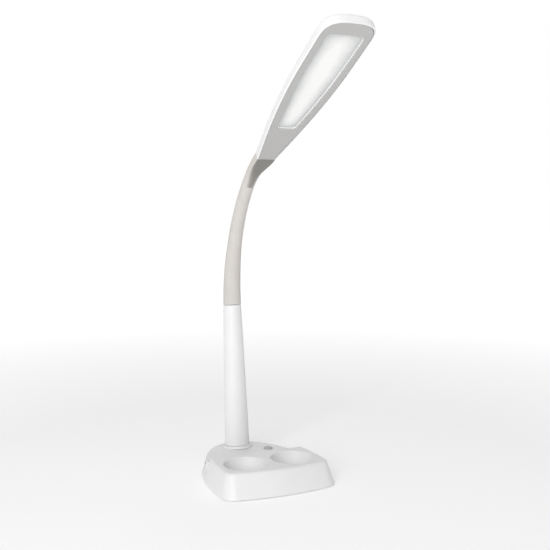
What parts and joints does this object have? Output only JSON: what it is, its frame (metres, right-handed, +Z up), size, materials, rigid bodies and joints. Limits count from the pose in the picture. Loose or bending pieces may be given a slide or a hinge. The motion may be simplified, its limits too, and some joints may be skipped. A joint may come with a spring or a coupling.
{
  "type": "desk lamp",
  "caption": "Gooseneck LED desk lamp on an organiser base with round cups, a tablet slot, a USB charging port and a flat paddle-shaped head.",
  "frame": {"origin": "on the table, at the middle of the base's underside", "axes": "+Z up, +X to the lamp's right as seen from its front, -Y to the front, where the head reaches out"},
  "size_m": [0.1806, 0.4097, 0.633],
  "materials": {
    "white_plastic": "smooth satin white plastic",
    "black_plastic": "fine-textured black plastic",
    "pad_rubber": "dull black foam rubber",
    "steel": "plain zinc-plated steel",
    "circuit_board": "green solder mask",
    "copper_winding": "enamelled copper winding",
    "brass_contact": "bare brass",
    "grey_plastic": "fine-textured light grey plastic",
    "taupe_silicone": "soft matte taupe silicone",
    "taupe_plastic": "satin taupe plastic",
    "frosted_diffuser": "frosted translucent diffuser"
  },
  "bodies": {
    "base": {"ballast_plate": "steel", "base_cover": "white_plastic", "base_pad": "pad_rubber", "base_plate": "black_plastic", "base_screw_0": "steel", "base_screw_1": "steel", "base_screw_2": "steel", "base_screw_3": "steel", "base_screw_4": "steel", "button_switch": "black_plastic", "control_board": "circuit_board", "controller_chip": "black_plastic", "converter_coil": "copper_winding", "dc_jack": "black_plastic", "dc_jack_pin": "brass_contact", "filter_capacitor": "black_plastic", "neck_core_0": "steel", "neck_sleeve_0": "taupe_silicone", "stem_cover": "white_plastic", "stem_nut": "steel", "stem_tube": "steel", "usb_shell": "steel", "usb_tongue": "black_plastic"},
    "neck_link_1": {"neck_core_1": "steel", "neck_sleeve_1": "taupe_silicone"},
    "neck_link_2": {"neck_core_2": "steel", "neck_sleeve_2": "taupe_silicone"},
    "neck_link_3": {"neck_core_3": "steel", "neck_sleeve_3": "taupe_silicone"},
    "neck_link_4": {"neck_core_4": "steel", "neck_sleeve_4": "taupe_silicone"},
    "neck_link_5": {"neck_core_5": "steel", "neck_sleeve_5": "taupe_silicone"},
    "neck_link_6": {"neck_core_6": "steel", "neck_sleeve_6": "taupe_silicone"},
    "head": {"bracket_screw_0": "steel", "bracket_screw_1": "steel", "diffuser_lens": "frosted_diffuser", "head_bezel": "grey_plastic", "head_bracket": "steel", "head_collar": "taupe_plastic", "head_top_cover": "white_plastic", "led_board": "circuit_board", "neck_core_7": "steel", "neck_sleeve_7": "taupe_silicone", "reflector_tray": "white_plastic"},
    "power_button": {"power_button": "grey_plastic"}
  },
  "joints": [
    {"name": "neck_bend_1", "type": "hinge", "parent": "base", "child": "neck_link_1", "pos_m": [0, 0.09885, 0.26797], "axis": [1, 0, 0], "range_deg": [-33, 19]},
    {"name": "neck_sway_2", "type": "hinge", "parent": "neck_link_1", "child": "neck_link_2", "pos_m": [0, 0.09783, 0.29794], "axis": [0, 0.9955, 0.0948], "range_deg": [-24, 24]},
    {"name": "neck_bend_3", "type": "hinge", "parent": "neck_link_2", "child": "neck_link_3", "pos_m": [0, 0.09318, 0.32756], "axis": [1, 0, 0], "range_deg": [-33, 19]},
    {"name": "neck_sway_4", "type": "hinge", "parent": "neck_link_3", "child": "neck_link_4", "pos_m": [0, 0.08497, 0.35639], "axis": [0, 0.9435, 0.3315], "range_deg": [-24, 24]},
    {"name": "neck_bend_5", "type": "hinge", "parent": "neck_link_4", "child": "neck_link_5", "pos_m": [0, 0.07334, 0.38403], "axis": [1, 0, 0], "range_deg": [-33, 19]},
    {"name": "neck_sway_6", "type": "hinge", "parent": "neck_link_5", "child": "neck_link_6", "pos_m": [0, 0.05844, 0.41004], "axis": [0, 0.836, 0.5487], "range_deg": [-24, 24]},
    {"name": "neck_bend_7", "type": "hinge", "parent": "neck_link_6", "child": "head", "pos_m": [0, 0.04049, 0.43406], "axis": [1, 0, 0], "range_deg": [-33, 19]},
    {"name": "power_button_press", "type": "slide", "parent": "base", "child": "power_button", "axis": [0, 0, -1], "range_m": [0, 0.0012], "stiffness_N_per_m": 1200, "springref_m": -0.0004}
  ]
}
